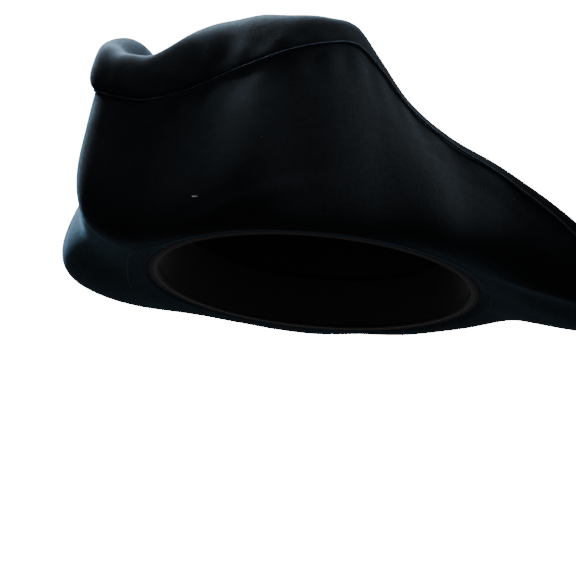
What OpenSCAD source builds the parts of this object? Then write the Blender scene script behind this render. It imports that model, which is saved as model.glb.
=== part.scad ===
// Three-cornered pirate hat: soft velvet over foam, with a padded rolled edge.
// Millimetres. Origin at the centre of the head opening, +Z towards the crown,
// -Y towards the wearer's front, +X towards the wearer's left.

/* [Head opening] */
// Front to back length of the crown seam, outside the crown
seam_length = 210; // [204:1:218]
// Side to side width of the crown seam, outside the crown
seam_width = 176; // [170:1:184]

/* [Crown] */
// Height of the crown above the opening
crown_height = 104; // [94:1:106]
// How much the crown side leans in at the top, measured front and back
crown_taper = 24; // [21:1:30]
// Radius of the round shoulder between side and tip
crown_shoulder = 16; // [12:1:20]

/* [Cloth] */
// Thickness of the velvet
velvet_thickness = 1.2; // [0.8:0.1:1.6]
// Thickness of the foam inside the brim
brim_foam_thickness = 3; // [2:0.2:4]
// Thickness of the foam inside the crown
crown_foam_thickness = 2.4; // [1.6:0.2:3.2]
// Thickness of the lining cloth
lining_thickness = 0.5; // [0.4:0.1:0.8]
// Gap left between cloth layers
layer_gap = 0.04; // [0.03:0.01:0.1]
// Gap between the brim and the crown at their seam
seam_gap = 0.15; // [0.1:0.05:0.3]

/* [Sweatband] */
// Height of the sweatband
sweatband_height = 32; // [24:1:40]
// Thickness of the sweatband
sweatband_thickness = 1.2; // [0.8:0.1:1.6]
// Radius of the bead along the lower edge of the sweatband
sweatband_bead = 1.1; // [0.8:0.1:1.4]

/* [Front point] */
// How far the front point stands out beyond the crown seam
front_reach = 45; // [36:1:54]
// Height of the front point where the roll begins
front_height = 84; // [74:1:92]
// Height of the rolled edge at the front point
front_roll = 35; // [26:1:38]

/* [Left flap] */
// Height of the left flap where the roll begins
left_height = 109; // [96:1:116]
// How far the left flap's upper edge stands off the crown seam above the ear
left_reach = 17; // [14:1:24]
// Height of the rolled edge above the left temple
left_roll = 35; // [28:1:38]

/* [Rear left point] */
// Direction of the rear left point, from the front round to the left
rear_left_direction = 124; // [118:1:130]
// How far the rear left point stands out beyond the crown seam
rear_left_reach = 104; // [88:2:114]
// How far the rear left point droops below the opening
rear_left_droop = 38; // [24:1:44]

/* [Back flap] */
// Height of the back flap's edge
back_height = 40; // [28:1:56]
// How far the back flap's edge stands off the crown seam
back_reach = 37; // [29:1:47]

/* [Rear right point] */
// Direction of the rear right point, from the front round to the left
rear_right_direction = 240; // [234:1:246]
// How far the rear right point stands out beyond the crown seam
rear_right_reach = 100; // [86:2:112]
// Height of the rear right point
rear_right_height = 30; // [16:1:40]

/* [Right flap] */
// Height of the right flap's edge
right_height = 84; // [70:1:94]
// How far the right flap's upper edge stands off the crown seam
right_reach = 58; // [48:1:66]
// How far the lower part of the right flap bellies out
right_belly = 112; // [90:2:116]

/* [Edge] */
// Height of the narrow rolled edge at the rear
narrow_roll = 6; // [5:0.5:8]
// Thickness of the roll as a share of its height
roll_fullness = 0.62; // [0.55:0.01:0.7]
// Radius of the raised seam below the roll
cord_radius = 0.6; // [0.5:0.05:0.9]

/* [Tag fastener] */
// Thickness of the tag fastener left in the brim
barb_thickness = 0.7; // [0.5:0.1:1]
// Length of the tag fastener's bar
barb_length = 3; // [2:0.5:5]

/* [Hidden] */

// Numbers of facets: round the hat, along a brim section, round the roll
$fa = 2;
$fs = 0.5;
around = 90;
along = 10;
roll_sides = 12;
cord_sides = 6;
squash = seam_width / seam_length;
half_length = seam_length / 2;
cut = 300;

// Colours
velvet = [0.05, 0.05, 0.06];
foam_colour = [0.16, 0.16, 0.17];
satin = [0.09, 0.09, 0.1];

// ---- brim shape ----

// One row for each direction: angle from the front round to the left, how far the seam line
// stands out beyond the crown seam and how high, leaving angle and handle, arriving angle and
// handle, roll height
rl = rear_left_direction;
rr = rear_right_direction;
rows = [
  [4, 0.57 * front_reach, front_height - 2, -18, 44, 94, 58, 0.84 * front_roll],
  [12, 0.6 * left_reach, front_height + 3, -20, 36, 97, 64, front_roll + 8],
  [21, 0.22 * left_reach, 0.86 * left_height, -14, 27, 97, 64, left_roll + 8],
  [32, 0.28 * left_reach, 0.91 * left_height, -7, 23, 97, 62, left_roll + 3],
  [45, 0.5 * left_reach, 0.97 * left_height, -6, 20, 97, 62, 0.78 * left_roll],
  [58, 0.77 * left_reach, left_height + 1, -6, 20, 97, 66, 0.55 * left_roll],
  [67, 0.88 * left_reach, left_height + 1, -7, 22, 98, 62, 0.4 * left_roll],
  [75, 0.95 * left_reach, 0.88 * left_height, -8, 24, 101, 55, 1.5 * narrow_roll],
  [84, 1.23 * left_reach, 0.68 * left_height, -10, 28, 106, 44, 1.2 * narrow_roll],
  [rl - 29, 1.82 * left_reach, 0.51 * left_height, -12, 36, 105, 37, narrow_roll],
  [rl - 17, 0.48 * rear_left_reach, 0.335 * left_height, -18, 42, 90, 33, narrow_roll],
  [rl - 7, 0.77 * rear_left_reach, 41 - rear_left_droop, -22, 46, 54, 34, narrow_roll],
  [rl, rear_left_reach, -rear_left_droop, -24, 44, -16, 40, narrow_roll],
  [rl + 12, 0.78 * rear_left_reach, 4 - rear_left_droop, -30, 42, -8, 30, narrow_roll],
  [152, back_reach + 21, -6, -28, 36, 34, 26, narrow_roll],
  [180, back_reach, back_height, -10, 34, 85, 26, 1.1 * narrow_roll],
  [208, back_reach + 13, back_height + 5, 0, 34, 75, 26, 1.1 * narrow_roll],
  [rr, rear_right_reach, rear_right_height, 2, 40, 10, 34, narrow_roll],
  [rr + 22, right_reach + 10, 0.71 * right_height, 2, 44, 80, 30, 1.3 * narrow_roll],
  [285, right_reach + 1, 0.95 * right_height, 2, right_belly - 38, 102, 42, 2 * narrow_roll],
  [309, 0.73 * right_reach, right_height + 12, 2, right_belly, 112, 62, 0.7 * front_roll],
  [331, 0.38 * right_reach, right_height + 20, 10, 68, 110, 62, 0.9 * front_roll],
  [345, 0.67 * front_reach, front_height + 22, 6, 60, 108, 58, front_roll],
  [355, front_reach - 1, front_height + 6, -6, 62, 101, 58, 0.9 * front_roll]
];
count = len(rows);

// A row taken round the hat as often as needed
function turn(i) = floor(i / count);
function row(i) = rows[i - count * turn(i)];
function row_angle(i) = row(i)[0] + 360 * turn(i);
function last_row(a, i = -1) = i + 1 < count && rows[i + 1][0] <= a ? last_row(a, i + 1) : i;

// Smooth curve through the rows of column k at angle a
function slope(i, k) = (row(i + 1)[k] - row(i - 1)[k]) / (row_angle(i + 1) - row_angle(i - 1));
function blend(y0, m0, y1, m1, t) =
  (2 * t * t * t - 3 * t * t + 1) * y0 + (t * t * t - 2 * t * t + t) * m0
  + (3 * t * t - 2 * t * t * t) * y1 + (t * t * t - t * t) * m1;
function column(a, i, k) =
  let (h = row_angle(i + 1) - row_angle(i))
  blend(row(i)[k], slope(i, k) * h, row(i + 1)[k], slope(i + 1, k) * h, (a - row_angle(i)) / h);

// Radius of the crown seam in direction a
function seam_radius(a) =
  1 / sqrt(pow(sin(a) / (seam_width / 2), 2) + pow(cos(a) / half_length, 2));

// The brim's seven values in direction a, the first turned into a reach from the middle
function station(a) =
  let (i = last_row(a)) [for (k = [1:7]) column(a, i, k) + (k == 1 ? seam_radius(a) : 0)];

// Section of the brim's outer face: four control points [reach, height]
function controls(a) =
  let (s = station(a), r0 = seam_radius(a) + seam_gap)
  [
    [r0, 0],
    [r0 + s[3] * cos(s[2]), s[3] * sin(s[2])],
    [s[0] - s[5] * cos(s[4]), s[1] - s[5] * sin(s[4])],
    [s[0], s[1]]
  ];
function curve(c, u) =
  pow(1 - u, 3) * c[0] + 3 * pow(1 - u, 2) * u * c[1] + 3 * (1 - u) * u * u * c[2]
  + pow(u, 3) * c[3];
function travel(c, u) =
  let (d = pow(1 - u, 2) * (c[1] - c[0]) + 2 * (1 - u) * u * (c[2] - c[1]) + u * u * (c[3] - c[2]))
  d / norm(d);

// Direction through the cloth; upright at the crown seam so the brim butts squarely
function through(c, u) =
  let (t = travel(c, u), w = min(1, 6 * u), n = [-t[1] * w, t[0] * w + (1 - w)])
  n / norm(n);
function lifted(c, u, d) = curve(c, u) + d * through(c, u);

// Point in space from direction a and section point p
function placed(a, p) = [p[0] * sin(a), -p[0] * cos(a), p[1]];

// Closed skin through rings of equal length, joined end to end. In rings that run out and
// come back, the facets of the way back are split like those of the way out, so that layers
// lie flat on each other.
module ring_solid(rings, out_and_back = false) {
  n = len(rings);
  m = len(rings[0]);
  points = [for (r = rings) for (p = r) p];
  faces = [for (i = [0:n - 1]) for (j = [0:m - 1]) for (h = [0, 1])
    let (
      a = i * m + j,
      b = i * m + (j + 1) % m,
      c = ((i + 1) % n) * m + (j + 1) % m,
      d = ((i + 1) % n) * m + j
    )
    out_and_back && j >= m / 2
      ? (h == 0 ? [a, b, d] : [b, c, d])
      : (h == 0 ? [a, b, c] : [a, c, d])];
  polyhedron(points = points, faces = faces, convexity = 8);
}

// A layer of brim cloth from depth d0 to depth d1
module brim_layer(d0, d1) {
  ring_solid([for (i = [0:around - 1])
    let (a = i * 360 / around, c = controls(a))
    concat(
      [for (j = [0:along]) placed(a, lifted(c, j / along, d0))],
      [for (j = [along:-1:0]) placed(a, lifted(c, j / along, d1))]
    )], out_and_back = true);
}

// ---- roll ----

// Takes a sine or cosine to a slightly squared round, so the roll looks full
function squared(x) = pow(abs(x), 0.8);

// How far the roll sits inwards of its seam, in half widths; it hangs over at the front point
function roll_set(a) = 0.9 - front_lip * pow(max(0, cos(a + 9)), 24);
front_lip = 0.55;

// Section of the roll, taken in by d: flat where it stands on the brim's end, round above
function roll_section(a, d, from, to, step) =
  let (
    s = station(a), t = [cos(s[4]), sin(s[4])], n = [-t[1], t[0]],
    high = s[6] / 2, foot = brim_total / 2, wide = max(roll_fullness * high, 1.05 * foot),
    set = roll_set(a)
  )
  [for (g = [from:step:to])
    let (
      part = squared(cos(g)), side = cos(g) < 0 ? -1 : 1, low = sin(g) < 0,
      half = low ? foot - d + (wide - foot) * part : (wide - d) * part,
      middle = low ? foot + (set * wide - foot) * part : set * wide,
      up = (sin(g) < 0 ? -1 : 1) * squared(sin(g)),
      rise = high + layer_gap + (high - d) * up
    )
    placed(a, [s[0], s[1]] + rise * t + (middle + side * half) * n)];
slit = 10;
roll_start = slit - 90;
roll_end = 270 - slit;
roll_step = (roll_end - roll_start) / roll_sides;

// Velvet wrapped round the roll, its two edges meeting at the seam line
module roll_cover() {
  color(velvet) ring_solid([for (i = [0:around - 1])
    let (a = i * 360 / around)
    concat(
      roll_section(a, 0, roll_start, roll_end + roll_step / 2, roll_step),
      roll_section(a, velvet_thickness, roll_end, roll_start - roll_step / 2, -roll_step)
    )], out_and_back = true);
}

// Filling of the roll, on the same facets as the velvet round it
module roll_core() {
  depth = velvet_thickness + layer_gap;
  color(foam_colour) ring_solid([for (i = [0:around - 1])
    roll_section(i * 360 / around, depth, roll_start, roll_end + roll_step / 2, roll_step)]);
}

// Raised seam on the outer face just below the roll
module edge_cord() {
  cord_step = 360 / cord_sides;
  color(velvet) ring_solid([for (i = [0:around - 1])
    let (
      a = i * 360 / around, s = station(a), c = controls(a), t = travel(c, 1), n = through(c, 1),
      middle = [s[0], s[1]] - (cord_radius + layer_gap) * (t + n)
    )
    [for (g = [0:cord_step:360 - cord_step / 2])
      placed(a, middle + cord_radius * (cos(g) * t + sin(g) * n))]]);
}

module brim_outer() {
  color(velvet) brim_layer(0, velvet_thickness);
}

foam_start = velvet_thickness + layer_gap;
foam_end = foam_start + brim_foam_thickness;
brim_total = foam_end + layer_gap + velvet_thickness;

module brim_foam() {
  color(foam_colour) brim_layer(foam_start, foam_end);
}

module brim_inner() {
  color(velvet) brim_layer(foam_end + layer_gap, brim_total);
}

// ---- crown ----

// Depths of the crown layers measured in from the seam
crown_foam_depth = velvet_thickness + layer_gap;
crown_lining_depth = crown_foam_depth + crown_foam_thickness + layer_gap;
crown_total = crown_lining_depth + lining_thickness;

// Where the side turns over into the shoulder, and where the shoulder meets the tip
side_reach = half_length - crown_taper;
side_top = crown_height - crown_shoulder;
tip_reach = side_reach - crown_shoulder;
arc_steps = 6;

// Side and shoulder at depth d, from the opening to the edge of the tip
function side_line(d) = concat(
  [[half_length - d, 0]],
  [for (i = [0:arc_steps])
    let (g = i * 90 / arc_steps)
    [tip_reach + (crown_shoulder - d) * cos(g), side_top + (crown_shoulder - d) * sin(g)]]
);
function backwards(line) = [for (i = [len(line) - 1:-1:0]) line[i]];

// Turned round the head in two halves and squashed to the head's oval
module oval() {
  for (side = [-90, 90]) scale([squash, 1, 1]) rotate([0, 0, side]) rotate_extrude(angle = 180) {
    children();
  }
}

// Wall of the crown between two depths
module crown_wall(d0, d1) {
  oval() polygon(concat(side_line(d0), backwards(side_line(d1))));
}

// Oval panel between two depths below the top of the crown
module tip_panel(d0, d1) {
  oval() translate([0, crown_height - d1]) square([tip_reach - layer_gap, d1 - d0]);
}

// One half of the crown, side is 1 for the wearer's left
module half(side) {
  intersection() {
    children();
    translate([side > 0 ? layer_gap : -cut - layer_gap, -cut / 2, -cut / 2]) cube(cut);
  }
}

module crown_tip() {
  color(velvet) tip_panel(0, velvet_thickness);
}

module crown_side_left() {
  color(velvet) half(1) crown_wall(0, velvet_thickness);
}

module crown_side_right() {
  color(velvet) half(-1) crown_wall(0, velvet_thickness);
}

module crown_foam_tip() {
  color(foam_colour) tip_panel(crown_foam_depth, crown_foam_depth + crown_foam_thickness);
}

module crown_foam_side() {
  color(foam_colour) crown_wall(crown_foam_depth, crown_foam_depth + crown_foam_thickness);
}

module crown_lining_tip() {
  color(satin) tip_panel(crown_lining_depth, crown_total);
}

module crown_lining_side() {
  color(satin) crown_wall(crown_lining_depth, crown_total);
}

// ---- sweatband and fastener ----

// Lean of the crown side, so the band lies against the lining
side_lean = crown_taper / side_top;
band_face = half_length - crown_total - layer_gap;

module sweatband() {
  color(satin) oval() polygon([
    [band_face, 0],
    [band_face - side_lean * sweatband_height, sweatband_height],
    [band_face - side_lean * sweatband_height - sweatband_thickness, sweatband_height],
    [band_face - sweatband_thickness, 2 * sweatband_bead],
    [band_face - sweatband_thickness - sweatband_bead, sweatband_bead],
    [band_face - sweatband_thickness, 0]
  ]);
}

// Plastic bar of a tag fastener lying on the outer face of the left flap
barb_direction = 21;
barb_level = 0.47;
module tag_fastener() {
  c = controls(barb_direction);
  t = travel(c, barb_level);
  p = placed(barb_direction, lifted(c, barb_level, -barb_thickness / 2 - barb_lift));
  color([0.85, 0.85, 0.85]) translate(p) rotate([0, 0, barb_direction + 24])
    rotate([0, 90, 0]) cylinder(h = barb_length, d = barb_thickness, center = true, $fn = 64);
}
barb_lift = 0.12;

crown_tip();
crown_side_left();
crown_side_right();
crown_foam_tip();
crown_foam_side();
crown_lining_tip();
crown_lining_side();
sweatband();
brim_outer();
brim_foam();
brim_inner();
roll_cover();
roll_core();
edge_cord();
tag_fastener();
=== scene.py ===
import math

import bpy
import numpy as np
from mathutils import Matrix, Vector


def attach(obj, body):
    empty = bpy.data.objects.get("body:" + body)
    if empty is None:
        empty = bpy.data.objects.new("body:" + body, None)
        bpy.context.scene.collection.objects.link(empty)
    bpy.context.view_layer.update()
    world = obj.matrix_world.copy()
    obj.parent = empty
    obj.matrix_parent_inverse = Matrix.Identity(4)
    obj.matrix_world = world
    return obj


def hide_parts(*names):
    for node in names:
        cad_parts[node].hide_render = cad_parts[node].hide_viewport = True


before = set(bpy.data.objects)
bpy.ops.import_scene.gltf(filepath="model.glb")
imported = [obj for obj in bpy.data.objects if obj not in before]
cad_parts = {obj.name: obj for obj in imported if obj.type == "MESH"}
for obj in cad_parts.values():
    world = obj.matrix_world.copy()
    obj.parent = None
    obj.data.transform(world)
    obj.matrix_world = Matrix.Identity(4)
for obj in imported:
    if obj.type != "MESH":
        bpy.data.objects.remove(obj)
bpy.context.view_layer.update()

MM = 0.001

# ---------------------------------------------------------------- camera

VIEW_AZIMUTH = math.radians(57)
VIEW_ELEVATION = math.radians(-18)
VIEW_ROLL = math.radians(2.3)
VIEW_DISTANCE = 1.1
FRAME_WIDTH = 0.3456  # width seen at the head opening, in metres
SENSOR = 36.0
VIEW_SHIFT = (-0.0486, -0.0052)


def make_camera():
    """Looks up at the hat from below its front left."""
    away = Vector((
        math.sin(VIEW_AZIMUTH) * math.cos(VIEW_ELEVATION),
        -math.cos(VIEW_AZIMUTH) * math.cos(VIEW_ELEVATION),
        math.sin(VIEW_ELEVATION),
    ))
    right = Vector((math.cos(VIEW_AZIMUTH), math.sin(VIEW_AZIMUTH), 0))
    up = away.cross(right)
    turned_right = right * math.cos(VIEW_ROLL) + up * math.sin(VIEW_ROLL)
    turned_up = up * math.cos(VIEW_ROLL) - right * math.sin(VIEW_ROLL)
    data = bpy.data.cameras.new("camera")
    data.sensor_width = SENSOR
    data.lens = SENSOR * VIEW_DISTANCE / FRAME_WIDTH
    data.shift_x, data.shift_y = VIEW_SHIFT
    camera = bpy.data.objects.new("camera", data)
    axes = Matrix((turned_right, turned_up, away)).transposed()
    camera.matrix_world = Matrix.Translation(away * VIEW_DISTANCE) @ axes.to_4x4()
    bpy.context.scene.collection.objects.link(camera)
    bpy.context.scene.camera = camera
    return right, away


view_right, view_away = make_camera()

# ---------------------------------------------------------------- sizes, as in the CAD

HALF_LENGTH = 105.0
HALF_WIDTH = 88.0
SQUASH = HALF_WIDTH / HALF_LENGTH
CROWN_HEIGHT = 104.0
CROWN_TAPER = 24.0
SHOULDER = 16.0
VELVET = 1.2
BRIM_FOAM = 3.0
CROWN_FOAM = 2.4
LINING = 0.5
GAP = 0.04
BAND_HEIGHT = 32.0
BAND_THICK = 1.2
BAND_BEAD = 1.1
LEFT_ROLL = 35.0
FRONT_ROLL = 35.0
NARROW_ROLL = 6.0
FULLNESS = 0.62
FRONT_LIP = 0.55

FRONT_REACH, FRONT_HEIGHT = 45.0, 84.0
LEFT_REACH, LEFT_HEIGHT = 17.0, 109.0
REAR_LEFT_TURN, REAR_LEFT_REACH, REAR_LEFT_DROOP = 124.0, 104.0, 38.0
BACK_REACH, BACK_HEIGHT = 37.0, 40.0
REAR_RIGHT_TURN, REAR_RIGHT_REACH, REAR_RIGHT_HEIGHT = 240.0, 100.0, 30.0
RIGHT_REACH, RIGHT_HEIGHT, RIGHT_BELLY = 58.0, 84.0, 112.0

ROWS = np.array([
    [4, 0.57 * FRONT_REACH, FRONT_HEIGHT - 2, -18, 44, 94, 58, 0.84 * FRONT_ROLL],
    [12, 0.6 * LEFT_REACH, FRONT_HEIGHT + 3, -20, 36, 97, 64, FRONT_ROLL + 8],
    [21, 0.22 * LEFT_REACH, 0.86 * LEFT_HEIGHT, -14, 27, 97, 64, LEFT_ROLL + 8],
    [32, 0.28 * LEFT_REACH, 0.91 * LEFT_HEIGHT, -7, 23, 97, 62, LEFT_ROLL + 3],
    [45, 0.5 * LEFT_REACH, 0.97 * LEFT_HEIGHT, -6, 20, 97, 62, 0.78 * LEFT_ROLL],
    [58, 0.77 * LEFT_REACH, LEFT_HEIGHT + 1, -6, 20, 97, 66, 0.55 * LEFT_ROLL],
    [67, 0.88 * LEFT_REACH, LEFT_HEIGHT + 1, -7, 22, 98, 62, 0.4 * LEFT_ROLL],
    [75, 0.95 * LEFT_REACH, 0.88 * LEFT_HEIGHT, -8, 24, 101, 55, 1.5 * NARROW_ROLL],
    [84, 1.23 * LEFT_REACH, 0.68 * LEFT_HEIGHT, -10, 28, 106, 44, 1.2 * NARROW_ROLL],
    [REAR_LEFT_TURN - 29, 1.82 * LEFT_REACH, 0.51 * LEFT_HEIGHT, -12, 36, 105, 37, NARROW_ROLL],
    [REAR_LEFT_TURN - 17, 0.48 * REAR_LEFT_REACH, 0.335 * LEFT_HEIGHT, -18, 42, 90, 33, NARROW_ROLL],
    [REAR_LEFT_TURN - 7, 0.77 * REAR_LEFT_REACH, 41 - REAR_LEFT_DROOP, -22, 46, 54, 34, NARROW_ROLL],
    [REAR_LEFT_TURN, REAR_LEFT_REACH, -REAR_LEFT_DROOP, -24, 44, -16, 40, NARROW_ROLL],
    [REAR_LEFT_TURN + 12, 0.78 * REAR_LEFT_REACH, 4 - REAR_LEFT_DROOP, -30, 42, -8, 30, NARROW_ROLL],
    [152, BACK_REACH + 21, -6, -28, 36, 34, 26, NARROW_ROLL],
    [180, BACK_REACH, BACK_HEIGHT, -10, 34, 85, 26, 1.1 * NARROW_ROLL],
    [208, BACK_REACH + 13, BACK_HEIGHT + 5, 0, 34, 75, 26, 1.1 * NARROW_ROLL],
    [REAR_RIGHT_TURN, REAR_RIGHT_REACH, REAR_RIGHT_HEIGHT, 2, 40, 10, 34, NARROW_ROLL],
    [REAR_RIGHT_TURN + 22, RIGHT_REACH + 10, 0.71 * RIGHT_HEIGHT, 2, 44, 80, 30, 1.3 * NARROW_ROLL],
    [285, RIGHT_REACH + 1, 0.95 * RIGHT_HEIGHT, 2, RIGHT_BELLY - 38, 102, 42, 2 * NARROW_ROLL],
    [309, 0.73 * RIGHT_REACH, RIGHT_HEIGHT + 12, 2, RIGHT_BELLY, 112, 62, 0.7 * FRONT_ROLL],
    [331, 0.38 * RIGHT_REACH, RIGHT_HEIGHT + 20, 10, 68, 110, 62, 0.9 * FRONT_ROLL],
    [345, 0.67 * FRONT_REACH, FRONT_HEIGHT + 22, 6, 60, 108, 58, FRONT_ROLL],
    [355, FRONT_REACH - 1, FRONT_HEIGHT + 6, -6, 62, 101, 58, 0.9 * FRONT_ROLL],
], float)


def seam_radius(angles):
    a = np.radians(angles)
    return 1 / np.sqrt((np.sin(a) / HALF_WIDTH) ** 2 + (np.cos(a) / HALF_LENGTH) ** 2)


def station(angles):
    """The seven brim values at each angle in degrees, on a smooth closed curve."""
    at = np.concatenate([ROWS[-2:, 0] - 360, ROWS[:, 0], ROWS[:2, 0] + 360])
    values = np.concatenate([ROWS[-2:, 1:], ROWS[:, 1:], ROWS[:2, 1:]])
    i = np.clip(np.searchsorted(at, angles, side="right") - 1, 1, len(at) - 3)
    h = (at[i + 1] - at[i])[:, None]
    t = (angles - at[i])[:, None] / h
    m0 = (values[i + 1] - values[i - 1]) / (at[i + 1] - at[i - 1])[:, None] * h
    m1 = (values[i + 2] - values[i]) / (at[i + 2] - at[i])[:, None] * h
    found = (
        (2 * t**3 - 3 * t**2 + 1) * values[i] + (t**3 - 2 * t**2 + t) * m0
        + (3 * t**2 - 2 * t**3) * values[i + 1] + (t**3 - t**2) * m1
    )
    found[:, 0] += seam_radius(angles)
    return found


def unit(v):
    return v / np.maximum(np.linalg.norm(v, axis=-1, keepdims=True), 1e-9)


def heading(degrees):
    a = np.radians(degrees)
    return np.stack([np.cos(a), np.sin(a)], -1)


def turned_left(t):
    return np.stack([-t[..., 1], t[..., 0]], -1)


def brim_section(angles, steps):
    """Outer face of the brim as [reach, height], and the direction through the cloth."""
    s = station(angles)
    c0 = np.stack([seam_radius(angles), 0 * angles], -1)
    c1 = c0 + s[:, 3:4] * heading(s[:, 2])
    c3 = s[:, 0:2]
    c2 = c3 - s[:, 5:6] * heading(s[:, 4])
    u = np.asarray(steps)[None, :, None]
    c0, c1, c2, c3 = (c[:, None, :] for c in (c0, c1, c2, c3))
    p = (1 - u) ** 3 * c0 + 3 * (1 - u) ** 2 * u * c1 + 3 * (1 - u) * u * u * c2 + u**3 * c3
    t = unit((1 - u) ** 2 * (c1 - c0) + 2 * (1 - u) * u * (c2 - c1) + u * u * (c3 - c2))
    w = np.minimum(1, 6 * u)
    n = turned_left(t) * w
    n[..., 1] += 1 - w[..., 0]
    return p, unit(n)


def placed(angles, p):
    """Points in space, in metres, from an angle and [reach, height] in millimetres."""
    a = np.radians(angles).reshape((-1,) + (1,) * (p.ndim - 2))
    return np.stack([p[..., 0] * np.sin(a), -p[..., 0] * np.cos(a), p[..., 1]], -1) * MM


# ---------------------------------------------------------------- making pieces


def new_piece(name, verts, faces, material, uvs=None):
    mesh = bpy.data.meshes.new(name)
    mesh.from_pydata([tuple(v) for v in verts], [], [tuple(int(i) for i in f) for f in faces])
    mesh.polygons.foreach_set("use_smooth", [True] * len(mesh.polygons))
    if uvs is not None:
        layer = mesh.uv_layers.new(name="cloth")
        loops = np.zeros(len(mesh.loops), np.int32)
        mesh.loops.foreach_get("vertex_index", loops)
        layer.data.foreach_set("uv", np.asarray(uvs, float)[loops].astype(np.float32).ravel())
    mesh.materials.append(material)
    mesh.validate()
    piece = bpy.data.objects.new(name, mesh)
    bpy.context.scene.collection.objects.link(piece)
    return piece


def ring_piece(name, rings, material):
    """A closed skin through rings of points, the last ring joined to the first."""
    n, m, _ = rings.shape
    i, j = np.meshgrid(np.arange(n), np.arange(m), indexing="ij")
    a = i * m + j
    b = i * m + (j + 1) % m
    c = (i + 1) % n * m + (j + 1) % m
    d = (i + 1) % n * m + j
    faces = np.stack([a, d, c, b], -1).reshape(-1, 4)
    step_round = np.linalg.norm(np.diff(rings, axis=0, append=rings[:1]), axis=-1).mean(1)
    round_m = np.concatenate([[0], np.cumsum(step_round)[:-1]])
    step_over = np.linalg.norm(np.diff(rings, axis=1, append=rings[:, :1]), axis=-1).mean(0)
    over_m = np.concatenate([[0], np.cumsum(step_over)[:-1]])
    uvs = np.stack(np.broadcast_arrays(round_m[:, None], over_m[None, :]), -1).reshape(-1, 2)
    return new_piece(name, rings.reshape(-1, 3), faces, material, uvs)


# ---------------------------------------------------------------- materials


class Finish:
    """A node material under construction."""

    def __init__(self, name):
        self.material = bpy.data.materials.new(name)
        self.material.use_nodes = True
        self.nodes = self.material.node_tree.nodes
        self.links = self.material.node_tree.links
        self.shader = self.nodes["Principled BSDF"]
        self.place = self.nodes.new("ShaderNodeTexCoord")

    def node(self, kind, **values):
        n = self.nodes.new("ShaderNode" + kind)
        for key, value in values.items():
            if key in n.inputs:
                n.inputs[key].default_value = value
            else:
                setattr(n, key, value)
        return n

    def noise(self, scale, detail=4.0, roughness=0.6, stretch=(1, 1, 1), coords="Object"):
        m = self.node("Mapping")
        m.inputs["Scale"].default_value = stretch
        n = self.node("TexNoise", Scale=scale, Detail=detail, Roughness=roughness)
        self.links.new(self.place.outputs[coords], m.inputs["Vector"])
        self.links.new(m.outputs[0], n.inputs["Vector"])
        return n.outputs["Fac"]

    def ramp(self, source, stops):
        r = self.nodes.new("ShaderNodeValToRGB")
        while len(r.color_ramp.elements) < len(stops):
            r.color_ramp.elements.new(0.5)
        for e, (position, colour) in zip(r.color_ramp.elements, stops):
            e.position = position
            e.color = (*colour, 1) if len(colour) == 3 else colour
        self.links.new(source, r.inputs["Fac"])
        return r.outputs["Color"]

    def grey(self, source, low, high, start=0.0, end=1.0):
        m = self.node("MapRange")
        for key, value in (("From Min", start), ("From Max", end), ("To Min", low),
                           ("To Max", high)):
            m.inputs[key].default_value = value
        self.links.new(source, m.inputs["Value"])
        return m.outputs["Result"]

    def blend(self, cloth, colour, factor):
        m = self.node("Mix", data_type="RGBA")
        self.links.new(factor, m.inputs["Factor"])
        self.links.new(cloth, m.inputs[6])
        m.inputs[7].default_value = colour
        return m.outputs[2]

    def lint(self, scale, size, rarity):
        """Specks of the given size, a share of the cells they lie in, in the rarest cells."""
        cells = self.node("TexVoronoi", Scale=scale)
        self.links.new(self.place.outputs["Object"], cells.inputs["Vector"])
        near = self.mix("LESS_THAN", cells.outputs["Distance"], size)
        split = self.node("SeparateColor")
        self.links.new(cells.outputs["Color"], split.inputs[0])
        rare = self.mix("GREATER_THAN", split.outputs[0], rarity)
        return self.mix("MULTIPLY", near, rare)

    def mix(self, kind, a, b):
        m = self.node("Math", operation=kind)
        for k, v in enumerate((a, b)):
            if isinstance(v, (int, float)):
                m.inputs[k].default_value = v
            else:
                self.links.new(v, m.inputs[k])
        return m.outputs[0]

    def set(self, socket, value):
        if isinstance(value, (int, float, tuple)):
            self.shader.inputs[socket].default_value = value
        else:
            self.links.new(value, self.shader.inputs[socket])

    def bump(self, height, strength, distance, after=None):
        b = self.node("Bump", Strength=strength, Distance=distance)
        self.links.new(height, b.inputs["Height"])
        if after is not None:
            self.links.new(after, b.inputs["Normal"])
        self.links.new(b.outputs[0], self.shader.inputs["Normal"])
        return b.outputs[0]


def velvet_finish(name, dark, light, sheen=1.0):
    """Brushed pile: patches lie different ways, and a little lint sits on it."""
    f = Finish(name)
    nap = f.noise(46, 6, 0.66)
    crush = f.noise(11, 3, 0.5, (1, 1, 1.8))
    pile = f.noise(1900, 3, 0.7)
    tone = f.mix("ADD", f.mix("MULTIPLY", nap, 0.6), f.mix("MULTIPLY", crush, 0.4))
    cloth = f.ramp(f.mix("ADD", tone, f.grey(pile, -0.09, 0.09, 0.3, 0.7)),
                   ((0.36, dark), (0.64, light)))
    lint = f.lint(240, 0.07, 0.94)
    f.set("Base Color", f.blend(cloth, (0.075, 0.085, 0.095, 1), lint))
    f.set("Roughness", f.grey(tone, 0.78, 0.98, 0.3, 0.7))
    f.set("Specular IOR Level", 0.12)
    f.set("Sheen Weight", sheen)
    f.set("Sheen Roughness", 0.3)
    f.set("Sheen Tint", (0.3, 0.56, 0.8, 1))
    soft = f.bump(nap, 0.3, 0.0022)
    f.bump(pile, 0.75, 0.0005, soft)
    return f.material


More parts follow.
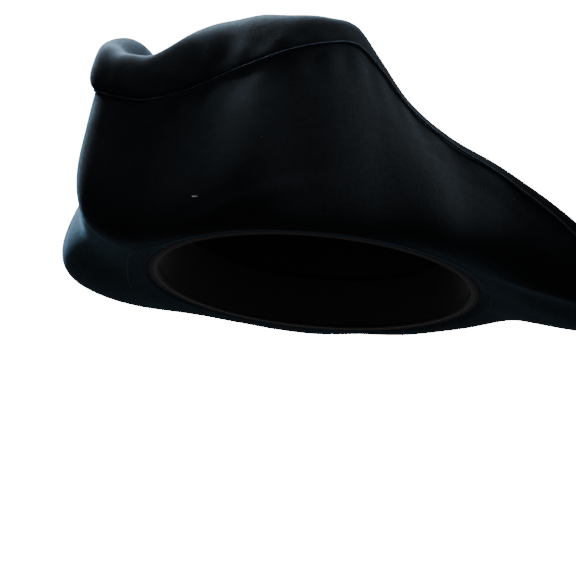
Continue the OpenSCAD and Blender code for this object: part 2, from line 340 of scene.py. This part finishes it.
def foam_finish():
    f = Finish("foam")
    cells = f.node("TexVoronoi", Scale=1400.0)
    f.links.new(f.place.outputs["Object"], cells.inputs["Vector"])
    f.set("Base Color", f.ramp(cells.outputs["Distance"],
                               ((0.0, (0.012, 0.012, 0.013)), (0.7, (0.075, 0.075, 0.08)))))
    f.set("Roughness", 0.95)
    f.bump(cells.outputs["Distance"], 0.8, 0.0004)
    return f.material


def woven_finish(name, dark, light, threads, roughness, sheen=0.2, ribs=False):
    """Cloth whose threads run along the piece's own UV map, in threads per metre."""
    f = Finish(name)
    m = f.node("Mapping")
    m.inputs["Scale"].default_value = (threads, threads, 1)
    f.links.new(f.place.outputs["UV"], m.inputs["Vector"])
    across = f.node("TexWave", Scale=0.3183, Distortion=0.0, bands_direction="X")
    along = f.node("TexWave", Scale=0.3183, Distortion=0.0, bands_direction="Y")
    for wave in (across, along):
        f.links.new(m.outputs[0], wave.inputs["Vector"])
    if ribs:
        weave = f.mix("ADD", across.outputs["Fac"],
                      f.mix("MULTIPLY", along.outputs["Fac"], 0.15))
    else:
        weave = f.mix("MULTIPLY", across.outputs["Fac"], along.outputs["Fac"])
    worn = f.noise(60, 4, 0.6)
    tone = f.mix("ADD", f.mix("MULTIPLY", weave, 0.5), f.mix("MULTIPLY", worn, 0.5))
    f.set("Base Color", f.ramp(tone, ((0.25, dark), (0.75, light))))
    f.set("Roughness", f.grey(worn, roughness - 0.08, roughness + 0.1))
    f.set("Specular IOR Level", 0.35)
    f.set("Sheen Weight", sheen)
    f.set("Sheen Roughness", 0.4)
    f.bump(weave, 0.5, 0.00025)
    return f.material


def plastic_finish():
    f = Finish("fastener_plastic")
    cloud = f.noise(900, 3, 0.5)
    f.set("Base Color", f.ramp(cloud, ((0.3, (0.62, 0.62, 0.6)), (0.7, (0.85, 0.85, 0.83)))))
    f.set("Roughness", f.grey(cloud, 0.35, 0.5))
    f.set("Transmission Weight", 0.1)
    f.bump(cloud, 0.15, 0.0001)
    return f.material


velvet = velvet_finish("velvet", (0.0052, 0.0058, 0.0068), (0.0105, 0.0118, 0.0138), 0.5)
# The edge cord is the same velvet, given a lighter base colour than the brim: a painted highlight
# along the brim's edge.
highlit_cord_velvet = velvet_finish("velvet_painted_highlight", (0.012, 0.0135, 0.0155), (0.028, 0.031, 0.036), 0.8)
foam = foam_finish()
lining = woven_finish("lining_satin", (0.004, 0.004, 0.005), (0.014, 0.0145, 0.017), 900, 0.34)
grosgrain = woven_finish("sweatband_ribbed", (0.005, 0.005, 0.006), (0.024, 0.0245, 0.028), 700,
                         0.62, 0.4, True)
thread = woven_finish("thread", (0.006, 0.006, 0.007), (0.03, 0.031, 0.035), 2500, 0.6, 0.5)
plastic = plastic_finish()

# ---------------------------------------------------------------- brim

AROUND = 400
ALONG = 64
FOAM_START = VELVET + GAP
FOAM_END = FOAM_START + BRIM_FOAM
BRIM_TOTAL = FOAM_END + GAP + VELVET
angles = np.arange(AROUND) * 360 / AROUND


def bump_at(x, centre, width):
    return np.exp(-(((x - centre) / width) ** 2))


def near_turn(a, centre, width):
    """A soft bump round a direction in degrees, the same either side of the front."""
    return bump_at((a - centre + 180) % 360 - 180, 0, width)


def brim_sway(a, u):
    """How far the soft brim strays from its even shape, in millimetres, towards the crown."""
    a, u = np.broadcast_arrays(a[:, None], np.asarray(u)[None, :])
    r = np.radians(a)
    fixed = np.clip(u * 5, 0, 1) * np.clip((1 - u) * 6, 0, 1)
    slow = (
        0.9 * np.sin(3 * r + 0.7 + 2.2 * u) + 0.6 * np.sin(7 * r - 1.1 + 3.1 * u)
        + 0.35 * np.sin(13 * r + 4.0 * u + 0.4)
    )
    puckers = 0.4 * np.sin(37 * r + 2.4 * np.sin(5 * r)) * bump_at(u, 0.93, 0.05)
    hem = -0.45 * bump_at(u, 0.055, 0.014)
    along_fold = np.clip((a - 6) / 10, 0, 1) * np.clip((66 - a) / 22, 0, 1)
    fold_line = 0.24 + 0.0042 * (a - 6)
    fold = -0.9 * bump_at(u, fold_line, 0.05) * along_fold
    drag = 1.1 * near_turn(a, 97, 5) * bump_at(u, 0.72, 0.2)
    drag = drag - 1.0 * near_turn(a, 104, 4) * bump_at(u, 0.66, 0.2)
    drag = drag + 1.2 * near_turn(a, 349, 4) * bump_at(u, 0.45, 0.2)
    return slow * fixed + puckers + hem + fold + drag


def brim_cloth(name, d0, d1, material):
    steps = np.linspace(0, 1, ALONG + 1)
    p, n = brim_section(angles, steps)
    sway = brim_sway(angles, steps)[..., None]
    low = placed(angles, p + n * (d0 + sway))
    high = placed(angles, p + n * (d1 + sway))
    rings = np.concatenate([low, high[:, ::-1]], 1)
    return ring_piece(name, rings, material)


brim_outer = brim_cloth("brim_velvet_outer", 0, VELVET, velvet)
brim_foam = brim_cloth("brim_foam_sheet", FOAM_START, FOAM_END, foam)
brim_inner = brim_cloth("brim_velvet_inner", FOAM_END + GAP, BRIM_TOTAL, velvet)

# ---------------------------------------------------------------- roll

ROLL_SIDES = 40


def squared(x):
    return np.abs(x) ** 0.8


def roll_sway(g):
    """How far the roll swells or sinks, in millimetres, at each angle round its section."""
    a, g = np.broadcast_arrays(angles[:, None], g)
    r = np.radians(a)
    size = np.clip(station(angles)[:, 6:7] / 30 - 0.25, 0, 1)
    free = 0.5 + 0.5 * np.clip(np.sin(g) * 2 + 0.6, -1, 1)
    puckers = 0.5 * np.sin(37 * r + 2.4 * np.sin(5 * r)) * bump_at(np.sin(g), -0.35, 0.35)
    slow = (
        0.6 * np.sin(5 * r + 1.3 + 0.8 * np.cos(g)) + 0.4 * np.sin(11 * r + 1.5 * np.cos(g))
        + 0.3 * np.sin(19 * r + 2.5 * np.sin(g) + 0.6)
    )
    pinch = -3.0 * near_turn(a, 358, 1.8) * bump_at(np.cos(g), -0.5, 0.8)
    pinch = pinch + 1.6 * near_turn(a, 350, 5) * bump_at(np.sin(g), 1, 0.8)
    return (slow * free + puckers + pinch) * size


def roll_rings(inset, turns):
    """Sections of the roll: flat where it stands on the brim's end, round above."""
    s = station(angles)
    t = heading(s[:, 4])[:, None]
    n = turned_left(t)
    g = np.radians(turns)[None]
    high, foot = s[:, 6:7] / 2, BRIM_TOTAL / 2
    wide = np.maximum(FULLNESS * high, 1.05 * foot)
    roll_set = 0.9 - FRONT_LIP * np.maximum(0, np.cos(np.radians(angles + 9)))[:, None] ** 24
    part, side, low = squared(np.cos(g)), np.where(np.cos(g) < 0, -1, 1), np.sin(g) < 0
    half = np.where(low, foot - inset + (wide - foot) * part, (wide - inset) * part)
    middle = np.where(low, foot + (roll_set * wide - foot) * part, roll_set * wide)
    up = np.where(low, -1, 1) * squared(np.sin(g))
    sway = roll_sway(g)
    rise = high + GAP + (high - inset) * up + sway * np.clip(np.sin(g), 0, 1)
    over = middle + side * half + sway * np.cos(g)
    return s[:, None, 0:2] + rise[..., None] * t + over[..., None] * n


def roll_cloth(name, material):
    outer = roll_rings(0, np.linspace(-80, 260, ROLL_SIDES))
    inner = roll_rings(VELVET, np.linspace(260, -80, ROLL_SIDES))
    return ring_piece(name, placed(angles, np.concatenate([outer, inner], 1)), material)


roll_cover = roll_cloth("roll_velvet", velvet)
roll_core = ring_piece(
    "roll_filling",
    placed(angles, roll_rings(VELVET + GAP, np.linspace(-80, 260, ROLL_SIDES))),
    foam,
)


def cord_path():
    p, n = brim_section(angles, [0.98, 1.0])
    t = unit(p[:, 1] - p[:, 0])
    return p[:, 1] - 0.64 * (t + n[:, 1]), t, n[:, 1]


def edge_cord():
    middle, t, n = cord_path()
    g = np.radians(np.arange(10) * 36.0)
    rings = (
        middle[:, None] + 0.6 * (np.cos(g)[None, :, None] * t[:, None]
                                 + np.sin(g)[None, :, None] * n[:, None])
    )
    return ring_piece("edge_seam_cord", placed(angles, rings), highlit_cord_velvet)


cord_piece = edge_cord()

# ---------------------------------------------------------------- crown

CROWN_FOAM_AT = VELVET + GAP
CROWN_LINING_AT = CROWN_FOAM_AT + CROWN_FOAM + GAP
CROWN_TOTAL = CROWN_LINING_AT + LINING
SIDE_TOP = CROWN_HEIGHT - SHOULDER
TIP_REACH = HALF_LENGTH - CROWN_TAPER - SHOULDER
DOME = 3.0


def crown_outline(depth):
    """[reach, height] up the side and over the shoulder at a depth in from the velvet."""
    g = np.radians(np.linspace(0, 90, 13))
    rise = np.linspace(0, 1, 16)[:-1]
    start = np.array([HALF_LENGTH - depth, 0.0])
    end = np.array([TIP_REACH + SHOULDER - depth, SIDE_TOP])
    side = start + rise[:, None] * (end - start)
    shoulder = np.stack([TIP_REACH + (SHOULDER - depth) * np.cos(g),
                         SIDE_TOP + (SHOULDER - depth) * np.sin(g)], -1)
    return np.concatenate([side, shoulder])


def oval(turns, outline):
    a = np.radians(turns)[:, None]
    return np.stack([
        outline[None, :, 0] * np.sin(a) * SQUASH,
        -outline[None, :, 0] * np.cos(a),
        np.broadcast_to(outline[None, :, 1], (len(turns), len(outline))),
    ], -1) * MM


def crown_wall(name, d0, d1, material, start=None, end=None):
    """A wall of the crown all round, or from one turn to another with closed ends."""
    outline = np.concatenate([crown_outline(d0), crown_outline(d1)[::-1]])
    if start is None:
        return ring_piece(name, oval(np.arange(180) * 2.0, outline), material)
    turns = np.linspace(start, end, 91)
    rings = oval(turns, outline)
    n, m, _ = rings.shape
    i, j = np.meshgrid(np.arange(n - 1), np.arange(m), indexing="ij")
    a, b = i * m + j, i * m + (j + 1) % m
    faces = np.stack([a, a + m, b + m, b], -1).reshape(-1, 4).tolist()
    half = m // 2
    for k in range(half - 1):
        front = [k, k + 1, m - 2 - k, m - 1 - k]
        back = [(n - 1) * m + v for v in front[::-1]]
        faces += [front, back]
    uvs = np.stack([np.repeat(np.radians(turns) * 0.09, m), np.tile(np.arange(m) * 0.004, n)], -1)
    return new_piece(name, rings.reshape(-1, 3), faces, material, uvs)


def tip_panel(name, d0, d1, material):
    """An oval panel, softly domed, closed above and below."""
    reach = np.linspace(0, TIP_REACH - GAP, 22)
    turns = np.arange(120) * 3.0
    dome = DOME * (1 - (reach / reach[-1]) ** 2)
    top = oval(turns, np.stack([reach[1:], CROWN_HEIGHT - d0 + dome[1:]], -1))
    low = oval(turns, np.stack([reach[1:], CROWN_HEIGHT - d1 + dome[1:]], -1))
    rings = np.concatenate([low[:, ::1], top[:, ::-1]], 1)
    n, m, _ = rings.shape
    i, j = np.meshgrid(np.arange(n), np.arange(m - 1), indexing="ij")
    a, b = i * m + j, (i + 1) % n * m + j
    faces = np.stack([a, a + 1, b + 1, b], -1).reshape(-1, 4).tolist()
    verts = rings.reshape(-1, 3).tolist()
    verts += [[0, 0, (CROWN_HEIGHT - d1 + DOME) * MM], [0, 0, (CROWN_HEIGHT - d0 + DOME) * MM]]
    for k in range(n):
        q = (k + 1) % n
        faces += [[n * m, k * m, q * m], [n * m + 1, q * m + m - 1, k * m + m - 1]]
    uvs = np.asarray(verts)[:, :2]
    return new_piece(name, verts, faces, material, uvs)


crown_tip = tip_panel("crown_tip_velvet", 0, VELVET, velvet)
crown_left = crown_wall("crown_side_left_velvet", 0, VELVET, velvet, 0.05, 179.95)
crown_right = crown_wall("crown_side_right_velvet", 0, VELVET, velvet, 180.05, 359.95)
crown_foam_tip = tip_panel("crown_tip_foam", CROWN_FOAM_AT, CROWN_FOAM_AT + CROWN_FOAM, foam)
crown_foam_side = crown_wall("crown_side_foam", CROWN_FOAM_AT, CROWN_FOAM_AT + CROWN_FOAM, foam)
lining_tip = tip_panel("crown_tip_lining", CROWN_LINING_AT, CROWN_TOTAL, lining)
lining_side = crown_wall("crown_side_lining", CROWN_LINING_AT, CROWN_TOTAL, lining)

# ---------------------------------------------------------------- sweatband

BAND_FACE = HALF_LENGTH - CROWN_TOTAL - GAP
LEAN = CROWN_TAPER / SIDE_TOP


def band_piece():
    inner = BAND_FACE - BAND_THICK
    bead = np.radians(np.linspace(-90, 90, 9))
    outline = [[BAND_FACE, 0.0], [BAND_FACE - LEAN * BAND_HEIGHT, BAND_HEIGHT],
               [inner - LEAN * BAND_HEIGHT, BAND_HEIGHT]]
    rise = np.linspace(BAND_HEIGHT, 2 * BAND_BEAD, 12)[1:]
    outline += [[inner - LEAN * z, z] for z in rise]
    outline += [[inner - BAND_BEAD * math.cos(g), BAND_BEAD - BAND_BEAD * math.sin(g)]
                for g in bead]
    outline += [[inner, 0.0]]
    return ring_piece("sweatband_ribbon", oval(np.arange(240) * 1.5, np.array(outline)), grosgrain)


sweatband = band_piece()


# ---------------------------------------------------------------- stitches


def stitch_nodes():
    """Lays short threads end to end along an edge, each a small stretched sphere."""
    group = bpy.data.node_groups.new("stitch_row", "GeometryNodeTree")
    face = group.interface
    sockets = {}
    face.new_socket("Geometry", in_out="INPUT", socket_type="NodeSocketGeometry")
    for name in ("spacing", "length", "thread_radius"):
        sockets[name] = face.new_socket(name, in_out="INPUT", socket_type="NodeSocketFloat")
    sockets["thread"] = face.new_socket("thread", in_out="INPUT",
                                        socket_type="NodeSocketMaterial")
    face.new_socket("Geometry", in_out="OUTPUT", socket_type="NodeSocketGeometry")
    nodes, links = group.nodes, group.links
    start, end = nodes.new("NodeGroupInput"), nodes.new("NodeGroupOutput")
    curve = nodes.new("GeometryNodeMeshToCurve")
    points = nodes.new("GeometryNodeCurveToPoints")
    points.mode = "LENGTH"
    links.new(start.outputs["Geometry"], curve.inputs["Mesh"])
    links.new(curve.outputs["Curve"], points.inputs["Curve"])
    links.new(start.outputs["spacing"], points.inputs["Length"])
    one = nodes.new("GeometryNodeMeshUVSphere")
    one.inputs["Segments"].default_value = 8
    one.inputs["Rings"].default_value = 6
    one.inputs["Radius"].default_value = 1.0
    size = nodes.new("ShaderNodeCombineXYZ")
    half = nodes.new("ShaderNodeMath")
    half.operation = "MULTIPLY"
    half.inputs[1].default_value = 0.5
    links.new(start.outputs["length"], half.inputs[0])
    for k in (0, 1):
        links.new(start.outputs["thread_radius"], size.inputs[k])
    links.new(half.outputs[0], size.inputs[2])
    spread = nodes.new("GeometryNodeInstanceOnPoints")
    links.new(points.outputs["Points"], spread.inputs["Points"])
    links.new(one.outputs["Mesh"], spread.inputs["Instance"])
    links.new(points.outputs["Rotation"], spread.inputs["Rotation"])
    links.new(size.outputs[0], spread.inputs["Scale"])
    smooth = nodes.new("GeometryNodeSetShadeSmooth")
    real = nodes.new("GeometryNodeRealizeInstances")
    paint = nodes.new("GeometryNodeSetMaterial")
    links.new(spread.outputs[0], real.inputs[0])
    links.new(real.outputs[0], smooth.inputs[0])
    links.new(smooth.outputs[0], paint.inputs["Geometry"])
    links.new(start.outputs["thread"], paint.inputs["Material"])
    links.new(paint.outputs[0], end.inputs[0])
    return group, {name: socket.identifier for name, socket in sockets.items()}


STITCHES, STITCH_SOCKETS = stitch_nodes()


def stitch_row(name, path, closed, spacing=0.0034, length=0.0027, radius=0.00028):
    """A row of stitches along a path of points in metres."""
    mesh = bpy.data.meshes.new(name + "_path")
    n = len(path)
    edges = [(k, (k + 1) % n) for k in range(n if closed else n - 1)]
    mesh.from_pydata([tuple(p) for p in path], edges, [])
    row = bpy.data.objects.new(name, mesh)
    bpy.context.scene.collection.objects.link(row)
    maker = row.modifiers.new("stitches", "NODES")
    maker.node_group = STITCHES
    for key, value in (("spacing", spacing), ("length", length), ("thread_radius", radius),
                       ("thread", thread)):
        maker[STITCH_SOCKETS[key]] = value
    graph = bpy.context.evaluated_depsgraph_get()
    made = bpy.data.meshes.new_from_object(row.evaluated_get(graph))
    row.modifiers.clear()
    row.data = made
    return row


def oval_path(reach, height, steps=240):
    return oval(np.arange(steps) * 360 / steps, np.array([[reach, height]]))[:, 0]


def hem_path():
    p, n = brim_section(angles, [0.0, 0.07])
    sway = brim_sway(angles, [0.0, 0.07])[..., None]
    return placed(angles, p + n * (sway - 0.12))[:, 1]


def side_seam_path(turn):
    outline = crown_outline(-0.1)[1:]
    return oval(np.array([turn]), outline)[0]


stitch_rows = [
    stitch_row("stitches_opening_hem", hem_path(), True),
    stitch_row("stitches_sweatband", oval_path(BAND_FACE - BAND_THICK - LEAN * 3.6 - 0.1, 3.6), True),
    stitch_row("stitches_crown_tip", oval_path(TIP_REACH - 3, CROWN_HEIGHT + 0.3), True),
    stitch_row("stitches_front_seam_left", side_seam_path(1.6), False),
    stitch_row("stitches_front_seam_right", side_seam_path(358.4), False),
    stitch_row("stitches_back_seam_left", side_seam_path(178.4), False),
    stitch_row("stitches_back_seam_right", side_seam_path(181.6), False),
]

# ---------------------------------------------------------------- stage

FLOOR = -0.46


def pale_finish():
    f = Finish("pale_floor")
    f.set("Base Color", f.ramp(f.noise(6), ((0.4, (0.8, 0.8, 0.8)), (0.6, (0.83, 0.83, 0.83)))))
    f.set("Roughness", 0.8)
    return f.material


def make_floor():
    corners = [(-4, -4, FLOOR), (4, -4, FLOOR), (4, 4, FLOOR), (-4, 4, FLOOR)]
    floor = new_piece("floor", corners, [(0, 1, 2, 3)], pale_finish())
    floor.visible_diffuse = False
    floor.visible_glossy = False


def make_world():
    """Plain white surroundings, a little brighter from above."""
    world = bpy.data.worlds.new("studio")
    bpy.context.scene.world = world
    world.use_nodes = True
    nodes, links = world.node_tree.nodes, world.node_tree.links
    nodes.clear()
    out = nodes.new("ShaderNodeOutputWorld")
    seen = nodes.new("ShaderNodeBackground")
    seen.inputs["Color"].default_value = (1, 1, 1, 1)
    seen.inputs["Strength"].default_value = 20.0
    fill = nodes.new("ShaderNodeBackground")
    fill.inputs["Strength"].default_value = 0.4
    sky = nodes.new("ShaderNodeTexCoord")
    split = nodes.new("ShaderNodeSeparateXYZ")
    shade = nodes.new("ShaderNodeValToRGB")
    shade.color_ramp.elements[0].position = 0.0
    shade.color_ramp.elements[0].color = (0.3, 0.3, 0.3, 1)
    shade.color_ramp.elements[1].position = 0.9
    shade.color_ramp.elements[1].color = (0.9, 0.96, 1, 1)
    links.new(sky.outputs["Generated"], split.inputs[0])
    links.new(split.outputs["Z"], shade.inputs["Fac"])
    links.new(shade.outputs["Color"], fill.inputs["Color"])
    path = nodes.new("ShaderNodeLightPath")
    both = nodes.new("ShaderNodeMixShader")
    links.new(path.outputs["Is Camera Ray"], both.inputs["Fac"])
    links.new(fill.outputs[0], both.inputs[1])
    links.new(seen.outputs[0], both.inputs[2])
    links.new(both.outputs[0], out.inputs["Surface"])


def make_lamp(name, place, size, power, colour):
    data = bpy.data.lights.new(name, "AREA")
    data.size = size
    data.energy = power
    data.color = colour
    lamp = bpy.data.objects.new(name, data)
    lamp.matrix_world = Matrix.Translation(place) @ (
        Vector(place) - Vector((0, 0, 0.05))).to_track_quat("Z", "Y").to_matrix().to_4x4()
    bpy.context.scene.collection.objects.link(lamp)


make_floor()
make_world()
make_lamp("lamp_top", tuple(-0.45 * view_away + Vector((0, 0, 1.6))), 1.2, 120, (0.78, 0.9, 1.0))
make_lamp("lamp_left", tuple(-1.0 * view_right - 0.7 * view_away + Vector((0, 0, 1.35))), 0.7, 170,
          (0.74, 0.88, 1.0))
make_lamp("lamp_right", tuple(1.6 * view_right + 0.3 * view_away + Vector((0, 0, 0.9))), 0.8, 62,
          (0.78, 0.9, 1.0))

# ---------------------------------------------------------------- bodies: pieces hung on the root body, CAD parts hidden, slots listed

for piece, nodes, slot in (
    (brim_outer, ("brim_outer",), "velvet"),
    (brim_foam, ("brim_foam",), "foam"),
    (brim_inner, ("brim_inner",), "velvet"),
    (roll_cover, ("roll_cover",), "velvet"),
    (roll_core, ("roll_core",), "foam"),
    (cord_piece, ("edge_cord",), "velvet"),
    (crown_tip, ("crown_tip",), "velvet"),
    (crown_left, ("crown_side_left",), "velvet"),
    (crown_right, ("crown_side_right",), "velvet"),
    (crown_foam_tip, ("crown_foam_tip",), "foam"),
    (crown_foam_side, ("crown_foam_side",), "foam"),
    (lining_tip, ("crown_lining_tip",), "lining"),
    (lining_side, ("crown_lining_side",), "lining"),
    (sweatband, ("sweatband",), "sweatband"),
):
    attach(piece, "root")
    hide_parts(*nodes)

for row in stitch_rows:
    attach(row, "root")

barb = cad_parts["tag_fastener"]
barb.data.materials.clear()
barb.data.materials.append(plastic)
